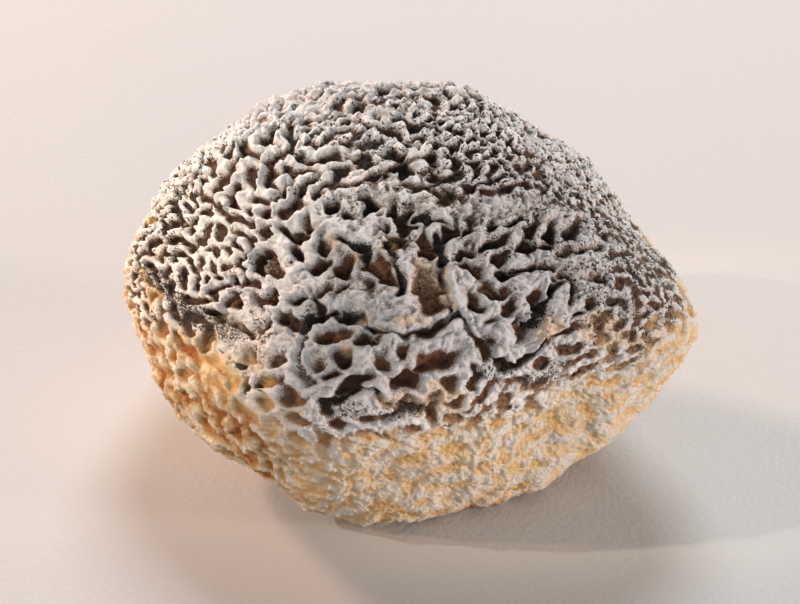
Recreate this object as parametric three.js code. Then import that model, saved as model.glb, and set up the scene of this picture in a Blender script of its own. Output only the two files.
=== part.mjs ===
// An ash-coated goat cheese: one domed, slightly angular piece whose skin has shrunk into wrinkles.
// Millimetres, +Z up. The origin is on the surface that the cheese rests on, under the middle of its outline.
import * as THREE from "three";
import { mergeVertices } from "three/addons/utils/BufferGeometryUtils.js";

// The cheese was drained by hand, so its form is a lump with soft flats. Each flat is given by the way that it
// faces, in degrees, and its distance in mm from the middle of the lump. Azimuth 0 faces the front (-Y) and 90
// the right (+X). Elevation is above the horizon.
const FLATS = [
  { name: "crown", azimuth: 0, elevation: 90, distance: 31.2 },
  { name: "upper front", azimuth: -5, elevation: 69, distance: 32.4 },
  { name: "upper right", azimuth: 80, elevation: 69, distance: 32.8 },
  { name: "upper back left", azimuth: -140, elevation: 66, distance: 33.5 },
  { name: "left shoulder", azimuth: -55, elevation: 28, distance: 35.8 },
  { name: "front shoulder", azimuth: -8, elevation: 44, distance: 34 },
  { name: "front right shoulder", azimuth: 27, elevation: 48, distance: 33.7 },
  { name: "right shoulder", azimuth: 70, elevation: 51, distance: 37.7 },
  { name: "back right shoulder", azimuth: 104, elevation: 49, distance: 31 },
  { name: "back shoulder", azimuth: 158, elevation: 49, distance: 35 },
  { name: "back left shoulder", azimuth: -118, elevation: 40, distance: 40.7 },
  { name: "left end", azimuth: -108, elevation: 20, distance: 48.2 },
  { name: "lower left end", azimuth: -93, elevation: -24, distance: 48.7 },
  { name: "right end", azimuth: 90, elevation: -4, distance: 49.8 },
  { name: "back right wall", azimuth: 124, elevation: -2, distance: 44 },
  { name: "back wall", azimuth: -178, elevation: 0, distance: 38 },
  { name: "front left wall", azimuth: -57, elevation: -23, distance: 44.6 },
  { name: "front right wall", azimuth: 20, elevation: -9, distance: 33.8 },
  { name: "front foot", azimuth: -28, elevation: -24, distance: 41.2 },
  { name: "right foot", azimuth: 78, elevation: -41, distance: 38.8 },
  { name: "back right foot", azimuth: 122, elevation: -33, distance: 32.5 },
  { name: "back foot", azimuth: 180, elevation: -38, distance: 36 },
  { name: "back left foot", azimuth: -109, elevation: -44, distance: 38 },
  { name: "left foot", azimuth: -57, elevation: -63, distance: 36.6 },
  { name: "underside", azimuth: 0, elevation: -90, distance: 28.5 },
];
const EDGE_SHARPNESS = 14; // higher makes the edges between the flats crisper
const REST_DEPTH = 27; // from the middle of the lump down to the surface that it stands on

// The wrinkles of the shrunken skin: their pitch from ridge to ridge, and their depth from crest to valley.
const WRINKLE_PITCH = 6.4;
const DOME_WRINKLE_DEPTH = 1.8;
const WALL_WRINKLE_DEPTH = 1;
const RIDGE_BIAS = 0.25; // above 0 the ridges are wide and the valleys between them narrow
const WAVE_COUNT = 40;
const SEED = 7;

// The edge of the ash, by azimuth and elevation in degrees all the way round. The deep wrinkles end there.
const ASH_EDGE = [
  [-180, -2],
  [-130, -2],
  [-90, 0],
  [-56, 7],
  [-35, 5],
  [-15, -3],
  [40, -6],
  [67, 2],
  [120, -2],
  [180, -2],
];

// Long folds, by the points that they pass through, azimuth and elevation in degrees. A crease goes in and has
// a raised lip on each side. A negative depth stands out instead.
const FOLDS = [
  {
    name: "crease down the front right face",
    route: [[8, 46], [10, 36], [10, 26], [10, 20], [14, 15], [20, 11], [27, 9], [34, 14], [37, 24]],
    halfWidth: 2,
    depth: 1.3,
  },
  {
    name: "crease across the front face",
    route: [[-29, 19], [-25, 22], [-18, 23], [-9, 21], [-1, 21], [5, 22], [10, 25]],
    halfWidth: 2,
    depth: 1.3,
  },
  {
    name: "crease under the left of the front face",
    route: [[-29, 18], [-28, 13], [-24, 9], [-17, 7], [-9, 9]],
    halfWidth: 1.8,
    depth: 0.9,
  },
  {
    name: "crease along the edge of the ash",
    route: [[-22, 4], [-16, 2], [-8, 3], [3, 2]],
    halfWidth: 1.8,
    depth: 0.7,
  },
  {
    name: "crease towards the right",
    route: [[20, 34], [28, 31], [35, 32], [44, 30]],
    halfWidth: 1.8,
    depth: 0.9,
  },
  {
    name: "swelling under the ash on the left",
    route: [[-76, 0], [-60, 0], [-45, -3], [-35, -6]],
    halfWidth: 4,
    depth: -1,
  },
];
const LIP_OFFSET = 1.9; // from the middle of a crease to its lip, in half widths
const LIP_SHARE = 0.4; // of the depth of the crease

// Single swellings and hollows, with a negative height for a hollow.
const BUMPS = [
  { name: "lobe at the front foot", azimuth: -26, elevation: -30, radius: 5, height: 1.8 },
  { name: "hollow at the front left edge", azimuth: -47, elevation: 12, radius: 3.6, height: -1.5 },
  { name: "hollow beside it", azimuth: -39, elevation: 15, radius: 3, height: -1.2 },
  { name: "hollow left of the lobe", azimuth: -44, elevation: -38, radius: 6, height: -1.6 },
];

// The surface starts as an icosahedron of 20 * 24 * 24 = 11,520 triangles. It is stretched and raised so that
// the dome gets more of them than the underside.
const TRIANGLE_ROWS = 24;
const SPREAD = new THREE.Vector3(1.2, 1.12, 1);
const RAISE = 0.25;

function facing([azimuth, elevation]) {
  const a = THREE.MathUtils.degToRad(azimuth);
  const e = THREE.MathUtils.degToRad(elevation);
  return new THREE.Vector3(
    Math.sin(a) * Math.cos(e),
    -Math.cos(a) * Math.cos(e),
    Math.sin(e),
  );
}

const flats = FLATS.map(({ azimuth, elevation, distance }) => ({
  normal: facing([azimuth, elevation]),
  distance,
}));

// The point of the smooth lump in a direction, and the way that its surface faces there. The flats are blended
// by a power mean, which rounds the edges where they meet.
function lump(direction) {
  let sum = 0;
  const normal = new THREE.Vector3();
  for (const flat of flats) {
    const share = Math.max(0, direction.dot(flat.normal) / flat.distance);
    sum += share ** EDGE_SHARPNESS;
    normal.addScaledVector(
      flat.normal,
      share ** (EDGE_SHARPNESS - 1) / flat.distance,
    );
  }
  const point = direction
    .clone()
    .multiplyScalar(sum ** (-1 / EDGE_SHARPNESS));
  return { point, normal: normal.normalize() };
}

// A small repeatable random generator, from 0 to 1.
function seededRandom(seed) {
  let state = seed;
  return () => {
    state = (state * 48271) % 2147483647;
    return state / 2147483647;
  };
}

// Waves of one length that run every way cross each other into winding ridges, much as a drying skin buckles.
// The result runs from -1 in a valley to 1 on a ridge.
function wrinkleField(pitch) {
  const random = seededRandom(SEED);
  const waves = Array.from({ length: WAVE_COUNT }, () => {
    const height = 2 * random() - 1;
    const turn = 2 * Math.PI * random();
    const across = Math.sqrt(1 - height * height);
    const way = new THREE.Vector3(
      across * Math.cos(turn),
      across * Math.sin(turn),
      height,
    );
    return {
      way: way.multiplyScalar((2 * Math.PI) / pitch),
      phase: 2 * Math.PI * random(),
    };
  });
  const scale = Math.sqrt(2 / WAVE_COUNT);
  return (point) => {
    let sum = 0;
    for (const { way, phase } of waves) {
      sum += Math.cos(way.dot(point) + phase);
    }
    return Math.tanh(1.2 * (scale * sum + RIDGE_BIAS));
  };
}

const wrinkles = wrinkleField(WRINKLE_PITCH);

// How high the edge of the ash runs at an azimuth.
function ashEdge(azimuth) {
  const next = ASH_EDGE.findIndex(([a]) => a >= azimuth && a > -180);
  const [a0, e0] = ASH_EDGE[next - 1];
  const [a1, e1] = ASH_EDGE[next];
  return THREE.MathUtils.mapLinear(azimuth, a0, a1, e0, e1);
}

function wrinkleDepth(direction) {
  const azimuth = THREE.MathUtils.radToDeg(Math.atan2(direction.x, -direction.y));
  const elevation = THREE.MathUtils.radToDeg(Math.asin(direction.z));
  const above = elevation - ashEdge(azimuth);
  const onDome = THREE.MathUtils.smoothstep(above, -6, 6);
  return THREE.MathUtils.lerp(WALL_WRINKLE_DEPTH, DOME_WRINKLE_DEPTH, onDome);
}

const onLump = (place) => lump(facing(place)).point;

const folds = FOLDS.map(({ route, halfWidth, depth }) => ({
  halfWidth,
  depth,
  lines: route
    .slice(1)
    .map((place, i) => new THREE.Line3(onLump(route[i]), onLump(place))),
}));

const bumps = BUMPS.map(({ azimuth, elevation, radius, height }) => ({
  middle: onLump([azimuth, elevation]),
  radius,
  height,
}));

const bell = (x) => Math.exp(-x * x);

// The folds and bumps at a point of the lump: how far the skin stands out, and how much of the wrinkles is left.
function formRelief(point) {
  const nearest = new THREE.Vector3();
  let out = 0;
  let left = 1;
  for (const { halfWidth, depth, lines } of folds) {
    const distances = lines.map((line) =>
      line.closestPointToPoint(point, true, nearest).distanceTo(point),
    );
    const across = Math.min(...distances) / halfWidth;
    out -= depth * bell(across);
    if (depth > 0) {
      out += LIP_SHARE * depth * bell(across - LIP_OFFSET);
      left *= 1 - bell(across / LIP_OFFSET);
    }
  }
  for (const { middle, radius, height } of bumps) {
    const across = middle.distanceTo(point) / radius;
    out += height * bell(across);
    left *= 1 - 0.6 * bell(across);
  }
  return { out, left };
}

function cheeseGeometry() {
  const ball = new THREE.IcosahedronGeometry(1, TRIANGLE_ROWS - 1);
  ball.deleteAttribute("normal");
  ball.deleteAttribute("uv");
  const geometry = mergeVertices(ball, 1e-5);
  const positions = geometry.attributes.position;
  const direction = new THREE.Vector3();
  for (let i = 0; i < positions.count; i++) {
    direction.fromBufferAttribute(positions, i).normalize().multiply(SPREAD);
    direction.z += RAISE;
    direction.normalize();
    const { point, normal } = lump(direction);
    const { out, left } = formRelief(point);
    const relief = (left * wrinkles(point) * wrinkleDepth(direction)) / 2;
    point.addScaledVector(normal, relief + out);
    point.z = Math.max(point.z, -REST_DEPTH);
    positions.setXYZ(i, point.x, point.y, point.z);
  }
  geometry.computeBoundingBox();
  const middle = geometry.boundingBox.getCenter(new THREE.Vector3());
  geometry.translate(-middle.x, -middle.y, REST_DEPTH);
  geometry.computeVertexNormals();
  return geometry;
}

const rind = new THREE.MeshStandardMaterial({
  color: new THREE.Color(0.62, 0.58, 0.52),
  roughness: 0.9,
  metalness: 0,
});

const cheese = new THREE.Mesh(cheeseGeometry(), rind);
cheese.name = "cheese";

const part = new THREE.Group();
part.add(cheese);

export default part;
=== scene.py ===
# %% [markdown]
# # An ash-coated goat cheese
#
# A small domed cheese is drained by hand, dusted with ash and left to dry. A white mould grows through the
# ash, and the skin shrinks into wrinkles while the inside stays soft. This lesson starts from the solid of
# the cheese, grows finer wrinkles on it, and then paints the mould, the ash and the bare skin below them.

# %% Load the solid
import math

import bmesh
import bpy
import numpy as np
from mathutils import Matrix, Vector


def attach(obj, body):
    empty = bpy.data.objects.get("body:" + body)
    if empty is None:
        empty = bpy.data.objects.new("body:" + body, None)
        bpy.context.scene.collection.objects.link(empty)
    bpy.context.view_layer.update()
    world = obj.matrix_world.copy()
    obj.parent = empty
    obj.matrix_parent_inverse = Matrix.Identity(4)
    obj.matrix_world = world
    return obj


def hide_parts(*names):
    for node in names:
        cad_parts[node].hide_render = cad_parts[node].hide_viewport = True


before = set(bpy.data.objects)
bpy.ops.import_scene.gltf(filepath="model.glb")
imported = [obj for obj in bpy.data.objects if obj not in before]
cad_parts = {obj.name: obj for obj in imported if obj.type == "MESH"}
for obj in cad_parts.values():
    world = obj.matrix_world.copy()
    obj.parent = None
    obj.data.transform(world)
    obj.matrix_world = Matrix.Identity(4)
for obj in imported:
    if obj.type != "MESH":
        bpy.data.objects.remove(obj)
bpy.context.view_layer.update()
MM = 0.001
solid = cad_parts["cheese"]

# %% [markdown]
# ## Where things are
#
# Every place on the cheese is named by the way that it faces, seen from the middle of the lump: an azimuth,
# 0 at the front and 90 on the right, and an elevation above the horizon. That is easier to read off a
# picture than x, y and z, and it stays right when the surface grows or shrinks a little.

# %% Directions
LUMP_MIDDLE = np.array([1.1, 1.05, 27.0])  # mm, above the middle of the foot


def facing(azimuth, elevation):
    a = np.radians(azimuth)
    e = np.radians(elevation)
    return np.stack([np.sin(a) * np.cos(e), -np.cos(a) * np.cos(e), np.sin(e)], axis=-1)


# %% [markdown]
# ## The camera
#
# The camera comes first, because the pits and creases of the front are read off its picture. It looks down
# at the front with a long lens from close by, as a food photographer's does. The same few numbers place
# Blender's camera and say where a point of the surface lands in the picture.

# %% Camera
CAMERA_ELEVATION = 33  # degrees above the horizon
CAMERA_DISTANCE = 370  # mm from the middle of the lump
LENS = 100  # mm, on a sensor 36 mm wide
SENSOR = 36
PICTURE = (800, 604)
SEEN_AT = (414, 284.3)  # where the middle of the lump is in the picture

tip = math.radians(CAMERA_ELEVATION)
to_camera = np.array([0, -math.cos(tip), math.sin(tip)])
camera_up = np.array([0, math.sin(tip), math.cos(tip)])
camera_right = np.array([1.0, 0, 0])
focal_pixels = PICTURE[0] * LENS / SENSOR
pixel = CAMERA_DISTANCE / focal_pixels  # mm on the cheese
eye = LUMP_MIDDLE + to_camera * CAMERA_DISTANCE
eye -= camera_right * (SEEN_AT[0] - PICTURE[0] / 2) * pixel
eye += camera_up * (SEEN_AT[1] - PICTURE[1] / 2) * pixel

camera_data = bpy.data.cameras.new("camera")
camera_data.lens = LENS
camera_data.sensor_width = SENSOR
camera = bpy.data.objects.new("camera", camera_data)
camera.location = Vector(eye * MM)
camera.rotation_euler = (math.pi / 2 - tip, 0, 0)
bpy.context.collection.objects.link(camera)
bpy.context.scene.camera = camera
print("one pixel is %.2f mm on the cheese" % pixel)


def in_picture(points):
    """Where points, in mm, land in the picture, in pixels from its top left."""
    offset = points - eye
    depth = -offset @ to_camera
    across = PICTURE[0] / 2 + focal_pixels * (offset @ camera_right) / depth
    down = PICTURE[1] / 2 - focal_pixels * (offset @ camera_up) / depth
    return np.stack([across, down], axis=-1)


# %% [markdown]
# ## Spreading values over a mesh
#
# Most of what follows is one idea: every point takes on a part of the average of its neighbours, again and
# again, which spreads any value over the surface like ink in paper. A table of each point's neighbours makes
# that one line of numpy. The table has the same number of columns for all, so a point with fewer neighbours
# fills up with itself.

# %% Neighbours
def read(items, name, width, kind):
    """One property of all the points, edges or faces of a mesh, as a table."""
    values = np.empty(len(items) * width, dtype=kind)
    items.foreach_get(name, values)
    return values.reshape(-1, width)


def neighbour_table(mesh):
    size = len(mesh.vertices)
    ends = read(mesh.edges, "vertices", 2, np.int32)
    pairs = np.concatenate([ends, ends[:, ::-1]])
    pairs = pairs[np.argsort(pairs[:, 0], kind="stable")]
    first = np.searchsorted(pairs[:, 0], np.arange(size + 1))
    valence = np.diff(first)
    table = np.repeat(np.arange(size)[:, None], valence.max(), axis=1)
    for column in range(valence.max()):
        has = valence > column
        table[has, column] = pairs[first[:-1][has] + column, 1]
    return table, valence


def spread(values, passes, table, rate=0.5):
    values = values.copy()
    for _ in range(passes):
        values += rate * (values[table].mean(axis=1) - values)
    return values


def smoothed(points, passes, table):
    """Smoothing shrinks a shape, so what it took away is smoothed as well and added back, twice."""
    smooth = spread(points, passes, table)
    for _ in range(2):
        smooth += spread(points - smooth, passes, table)
    return smooth


def read_points(mesh):
    return read(mesh.vertices, "co", 3, np.float64) / MM


def store_points(mesh, values):
    mesh.vertices.foreach_set("co", (values * MM).ravel())
    mesh.update()


def read_normals(mesh):
    return read(mesh.vertex_normals, "vector", 3, np.float32)


# %% [markdown]
# ## The smooth lump under the wrinkles
#
# The solid has coarse wrinkles of its own. A copy of it is merged into one skin and smoothed, because finer
# wrinkles replace them. Then each edge is cut in seven, which gives forty-nine triangles for each one, and
# the flat facets are rounded the same way.

# %% Smooth the solid
COARSE_PASSES = 14  # over the coarse mesh, which takes the solid's own wrinkles off
FINE_PASSES = 110  # over the fine mesh, which takes the facets off
CUTS = 6  # new points along each edge
WELD = 0.001  # mm, within which two points are one

shape = bmesh.new()
shape.from_mesh(solid.data)
bmesh.ops.remove_doubles(shape, verts=shape.verts, dist=WELD * MM)
skin = bpy.data.meshes.new("skin")
shape.to_mesh(skin)
coarse_near, _ = neighbour_table(skin)
coarse = smoothed(read_points(skin), COARSE_PASSES, coarse_near)
for vertex, place in zip(shape.verts, coarse):
    vertex.co = Vector(place * MM)
bmesh.ops.subdivide_edges(shape, edges=shape.edges, cuts=CUTS, use_grid_fill=True)
bmesh.ops.triangulate(shape, faces=shape.faces)
shape.to_mesh(skin)
shape.free()
count = len(skin.vertices)
print("vertices:", count, "triangles:", len(skin.polygons))

# %% [markdown]
# ## Facts of every point
#
# The rounded lump is measured once, and all later steps read these tables: which way each point's surface
# faces, how far its neighbours are, its direction from the middle, and where it lands in the picture, if the
# camera can see it at all.

# %% Round the facets
FACES_EYE = 0.12  # cosine of the steepest slant that still counts as in view

near, valence = neighbour_table(skin)
lump = smoothed(read_points(skin), FINE_PASSES, near)
lump[:, 2] = np.maximum(lump[:, 2], 0)
store_points(skin, lump)
outward = read_normals(skin).astype(np.float64)
spacing = np.linalg.norm(lump[near] - lump[:, None], axis=2).sum(axis=1) / valence
print("spacing of the points in mm: %.2f to %.2f" % (spacing.min(), spacing.max()))

way = lump - LUMP_MIDDLE
way /= np.linalg.norm(way, axis=1)[:, None]
azimuth = np.degrees(np.arctan2(way[:, 0], -way[:, 1]))
elevation = np.degrees(np.arcsin(way[:, 2]))

to_eye = eye - lump
to_eye /= np.linalg.norm(to_eye, axis=1)[:, None]
in_view = (outward * to_eye).sum(axis=1) > FACES_EYE
seen = in_picture(lump)

# %% [markdown]
# ## Seeded noise
#
# Nothing on a cheese is even. Random numbers spread over the surface give bumps, the wider the longer they
# spread, and a fixed seed gives the same cheese each time. Broad bumps would take too many rounds, so they
# are sums of waves.

# %% Noise
SEED = 11
BUMP_SIZE = 0.9  # how wide bumps get, for a spread of 1
WAVES = 40
WAVE_RATE = 1.3  # turns the size of a bump into how fast its waves run

random = np.random.default_rng(SEED)


def smooth_noise(size):
    """Noise over the surface with a spread of 1 and bumps of about the given size in mm."""
    passes = max(1, int(round((size / BUMP_SIZE / np.median(spacing)) ** 2 / 2)))
    noise = spread(random.standard_normal(count, dtype=np.float32), passes, near)
    return noise / noise.std()


def broad_noise(size):
    """The same for broad bumps: waves that run every way, added up."""
    ways = random.standard_normal((WAVES, 3)) * WAVE_RATE / size
    phases = random.uniform(0, 2 * math.pi, WAVES)
    noise = np.cos(lump @ ways.T + phases).sum(axis=1)
    return noise / noise.std()


def bell(x):
    """1 at 0, and down to nothing on both sides."""
    return np.exp(-(x**2))


def smoothstep(low, high, value):
    """0 up to low, 1 from high on, and a soft slope between them."""
    share = np.clip((value - low) / (high - low), 0, 1)
    return share * share * (3 - 2 * share)


# %% [markdown]
# ## Zones of the rind
#
# The wrinkles differ from place to place: winding worms on the left, broad pits in front, a fine grey
# crumple on the right, and shallow folds on the bare wall below. Each zone is a named place with its own
# values, and a point takes a mix of the zones by how near they are.
#
# "pitch" is from ridge to ridge and "depth" from crest to valley, in mm. "bias" widens the ridges until the
# valleys close into pits. "tilt" is the slope of the ridges against the horizontal, in degrees, and
# "stretch" how strongly they follow it. "crisp" makes ridges sharp where it is above 1, round where below.

# %% Zones
NEXT_TO_NOTHING = 1e-12  # keeps the shares of far zones above 0
FORM_KEYS = ("pitch", "depth", "bias", "tilt", "stretch", "crisp")
ZONES = {
    # name: (azimuth, elevation), reach in degrees, then the values
    "upper left": ((-62, 36), 22, 2.6, 1.8, 0.3, 12, 1.9, 1.8),
    "left end": ((-95, 14), 18, 2.6, 1.5, 0.3, 10, 1.5, 1.7),
    "crown": ((20, 84), 20, 2.5, 1.7, 0.25, 0, 1.6, 1.8),
    "top of the front": ((-18, 62), 16, 3.5, 2.2, 0.3, 10, 1.4, 1.6),
    "front face": ((-8, 34), 15, 3.8, 1.5, 0.5, 70, 1.4, 1.0),
    "front band": ((-12, 13), 10, 3.8, 1.5, 0.5, 20, 1.2, 1.0),
    "front left edge": ((-43, 17), 11, 2.5, 1.9, 0.3, 20, 1.3, 1.6),
    "right of the crease": ((24, 24), 12, 3.2, 1.4, 0.5, 60, 1.3, 1.0),
    "upper right": ((45, 44), 20, 2.8, 0.66, 0.35, 8, 1.7, 1.4),
    "right end": ((75, 20), 20, 2.5, 0.5, 0.3, -20, 1.4, 1.5),
    "back right": ((125, 35), 28, 2.5, 1.1, 0.28, 10, 1.4, 1.6),
    "back": ((175, 32), 28, 2.7, 1.5, 0.28, 0, 1.5, 1.7),
    "back left": ((-132, 34), 28, 2.6, 1.7, 0.3, 8, 1.5, 1.8),
    "left wall": ((-62, -18), 18, 3.4, 0.85, 0.25, -38, 2.2, 2.0),
    "front wall": ((-5, -20), 18, 3.3, 0.34, 0.25, -60, 1.4, 1.7),
    "right wall": ((42, -18), 18, 3.6, 0.32, 0.3, 40, 1.2, 1.5),
    "right end wall": ((90, -22), 22, 3.2, 0.32, 0.2, 20, 1.2, 1.5),
    "back wall": ((175, -20), 40, 3.2, 0.6, 0.25, 0, 1.3, 1.8),
    "back left wall": ((-120, -20), 25, 3.4, 0.85, 0.25, -20, 2.0, 2.0),
    "underside": ((0, -90), 35, 3.1, 0.25, 0.0, 0, 1.0, 1.0),
}
zone_shares = []
for place, reach, *_ in ZONES.values():
    angle = np.degrees(np.arccos(np.clip(way @ facing(*place), -1, 1)))
    zone_shares.append(bell(angle / reach) + NEXT_TO_NOTHING)
zone_shares = np.array(zone_shares) / np.sum(zone_shares, axis=0)


def blend(keys, values):
    """Each value of the zones, mixed for every point by its angle to the zones' places."""
    return dict(zip(keys, (zone_shares.T @ np.array(values)).T))


form = blend(FORM_KEYS, [values for _, _, *values in ZONES.values()])
print({key: "%.2f to %.2f" % (value.min(), value.max()) for key, value in form.items()})

# %% [markdown]
# ## Pits of the front
#
# Across the front the wrinkles close into oval pits, which show so clearly that each is listed one by one.
# Its middle, length and width are in pixels of the picture, its turn is in degrees up from level and its
# depth in mm. The last value is how black its floor is, from bare brown skin to packed ash.

# %% Pits
PITS = [
    # x, y, length, width, turn, depth, black
    (293, 236, 26, 15, -10, 2.2, 0.7), (295, 251, 17, 14, -45, 1.8, 0.8), (323, 248, 11, 10, 0, 1.6, 0.8),
    (322, 264, 30, 11, 35, 1.7, 0.5), (348, 268, 27, 16, 70, 1.9, 0.2), (380, 270, 42, 19, -50, 1.8, 0.1),
    (366, 285, 13, 8, -50, 1.0, 0.8), (342, 293, 10, 7, 80, 1.0, 0.9), (425, 242, 30, 14, 80, 1.8, 0.2),
    (430, 288, 56, 31, 84, 1.2, 0.0), (397, 242, 27, 10, 0, 1.6, 0.3), (407, 218, 31, 13, 55, 2.0, 0.6),
    (409, 228, 22, 8, 35, 1.4, 0.9), (395, 210, 20, 11, -70, 2.0, 0.9), (370, 204, 25, 14, 0, 2.2, 0.9),
    (333, 207, 22, 15, 30, 2.0, 0.9), (383, 227, 17, 8, 80, 1.2, 0.3), (349, 216, 12, 9, 0, 1.4, 0.9),
    (308, 226, 17, 12, 80, 1.6, 0.5), (318, 308, 24, 12, 85, 1.5, 0.7), (329, 290, 20, 9, 50, 0.9, 0.3),
    (268, 268, 28, 26, 60, 2.2, 0.3), (265, 301, 24, 22, 20, 2.4, 0.4), (302, 305, 11, 9, 0, 1.5, 0.6),
    (290, 324, 28, 14, -35, 2.2, 0.5), (264, 328, 15, 12, 0, 1.6, 0.4), (335, 333, 37, 13, 25, 1.5, 0.2),
    (367, 338, 31, 18, 20, 2.0, 0.3), (343, 360, 20, 16, 80, 1.8, 0.6), (327, 379, 20, 9, 5, 1.4, 0.6),
    (315, 367, 13, 8, 60, 0.8, 0.2), (354, 388, 42, 14, 20, 2.2, 0.7), (384, 362, 18, 10, 80, 1.4, 0.1),
    (407, 350, 27, 14, 72, 1.1, 0.1), (405, 381, 35, 18, 12, 2.1, 0.3), (438, 363, 39, 15, 25, 2.2, 0.2),
    (434, 332, 32, 7, 34, 1.2, 0.1), (449, 382, 20, 12, 70, 1.1, 0.3), (430, 394, 18, 8, 30, 0.9, 0.1),
    (385, 402, 18, 8, -15, 1.3, 0.4), (409, 403, 25, 8, 8, 1.4, 0.3), (434, 412, 20, 11, 80, 1.3, 0.0),
    (451, 405, 20, 6, 30, 1.0, 0.1), (328, 407, 18, 9, -60, 1.6, 0.8), (339, 424, 15, 10, 55, 1.2, 0.0),
    (451, 230, 27, 16, 70, 1.6, 0.7), (469, 228, 26, 9, 75, 1.4, 0.9), (489, 225, 13, 11, 0, 1.3, 0.8),
    (511, 224, 22, 10, 30, 1.7, 0.9), (531, 228, 20, 8, 65, 1.5, 0.9), (552, 235, 18, 15, 0, 2.0, 1.0),
    (575, 233, 20, 12, 45, 1.6, 0.9), (466, 253, 22, 12, 30, 1.8, 0.6), (494, 245, 26, 13, 25, 1.9, 0.8),
    (526, 248, 27, 14, 8, 1.8, 0.8), (548, 248, 13, 10, 0, 1.3, 0.8), (499, 262, 23, 10, 50, 1.6, 0.6),
    (505, 275, 24, 10, -5, 1.8, 1.0), (528, 267, 33, 8, 8, 1.6, 0.8), (549, 266, 18, 7, -5, 1.6, 1.0),
    (464, 270, 34, 10, -22, 1.5, 0.5), (493, 287, 30, 14, -28, 1.8, 0.4), (475, 301, 18, 14, 80, 1.4, 0.3),
    (509, 305, 18, 10, 60, 1.6, 0.4), (533, 299, 22, 17, 10, 2.0, 0.4), (554, 287, 18, 7, 45, 1.3, 0.4),
    (569, 285, 30, 10, -70, 1.5, 0.5), (522, 329, 26, 16, 80, 1.6, 0.1), (592, 302, 14, 11, 80, 1.4, 0.1),
    (579, 312, 11, 10, 0, 1.2, 0.7), (596, 279, 22, 8, -35, 1.2, 0.2), (567, 252, 17, 6, 12, 1.2, 0.9),
    (590, 250, 24, 6, 8, 1.2, 0.9), (493, 320, 14, 10, 20, 1.0, 0.1), (481, 340, 26, 9, -50, 1.3, 0.4),
    (249, 355, 28, 15, -62, 1.7, 0.5), (241, 330, 26, 12, -25, 1.6, 0.5), (276, 365, 17, 13, -60, 1.3, 0.4),
    (235, 303, 22, 15, 35, 1.6, 0.2), (218, 317, 24, 9, -10, 1.4, 0.8), (247, 386, 15, 7, 75, 1.1, 0.0),
    (266, 400, 15, 8, 35, 1.0, 0.0), (297, 422, 16, 7, -35, 0.9, 0.0),
]
PIT_WARP = 2.2  # pixels that the outline of a pit is pulled about
PIT_SIZE = 1.1  # times the size in the table
PIT_WALL = (-0.6, 0.25)  # mm from the edge, where the floor starts to rise and where it has risen
PIT_FLOOR = 0.75  # share of the depth in the middle of a pit
PIT_SLANT = 0.45  # how much deeper its lower end is, and how much less deep its upper end
FAR = 9.0  # mm, for points that are nowhere near a pit
DRAWN_FADE = (0.85, 1.1)  # where the part with listed pits fades out, as shares of its ovals
OVAL_FADE = (0.7, 1.3)  # the same for the ovals of the colours

# The part of the front where the pits are listed, as ovals: middle and half sizes in pixels.
DRAWN_PART = [((375, 300), (115, 118)), ((500, 270), (110, 75)), ((252, 335), (38, 48))]


def turned(offset, turn):
    """Offsets in the picture, along and across an oval that is turned up by so many degrees."""
    c = math.cos(math.radians(turn))
    s = math.sin(math.radians(turn))
    return offset[:, 0] * c - offset[:, 1] * s, offset[:, 0] * s + offset[:, 1] * c


warped = seen + PIT_WARP * np.stack([smooth_noise(2.0), smooth_noise(2.0)], axis=-1)
pit_depth = np.zeros(count)
pit_black = np.zeros(count)
pit_low = np.zeros(count)
pit_nearest = np.full(count, FAR)  # mm from the edge of the nearest pit
for x, y, length, width, turn, depth, black in PITS:
    offset = (warped - (x, y)) / PIT_SIZE
    along, across = turned(offset, turn)
    reach = np.where(in_view, np.hypot(along * 2 / length, across * 2 / width), FAR)
    from_edge = (reach - 1) * width / 2 * pixel
    angle = math.radians(turn)
    half_height = math.hypot(length * math.sin(angle), width * math.cos(angle)) / 2
    low = np.clip(offset[:, 1] / half_height, -1, 1)
    floor = depth * (PIT_FLOOR + PIT_SLANT * low) * (1 - smoothstep(*PIT_WALL, from_edge))
    pit_low = np.where(floor > pit_depth, low, pit_low)
    pit_black = np.where(floor > pit_depth, black, pit_black)
    pit_depth = np.maximum(pit_depth, floor)
    pit_nearest = np.minimum(pit_nearest, from_edge)

drawn = np.zeros(count)
for (x, y), (wide, high) in DRAWN_PART:
    reach = np.hypot((seen[:, 0] - x) / wide, (seen[:, 1] - y) / high)
    drawn = np.maximum(drawn, (1 - smoothstep(*DRAWN_FADE, reach)) * in_view)


def oval(x, y, wide, high, turn=0):
    """1 in an oval of the picture, given by its middle and half sizes, fading to 0 past its edge."""
    along, across = turned(warped - (x, y), turn)
    return (1 - smoothstep(*OVAL_FADE, np.hypot(along / wide, across / high))) * in_view


print("pits:", len(PITS), "points in them:", int((pit_nearest < 0).sum()))

# %% [markdown]
# ## Long creases
#
# A drying skin that is too large for its body folds over in long creases, and ash stays in them. Each one is
# a route over the surface, read off the picture too. The distance from every point to the nearest stretch of
# the route gives its cross-section: a narrow valley with a sharp lip on one side and a low one on the other.

# %% Creases
def on_lump(x, y):
    """The point of the smooth lump that shows at a pixel of the picture."""
    miss = np.hypot(seen[:, 0] - x, seen[:, 1] - y) + 1000 * ~in_view
    return lump[np.argmin(miss)]


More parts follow.
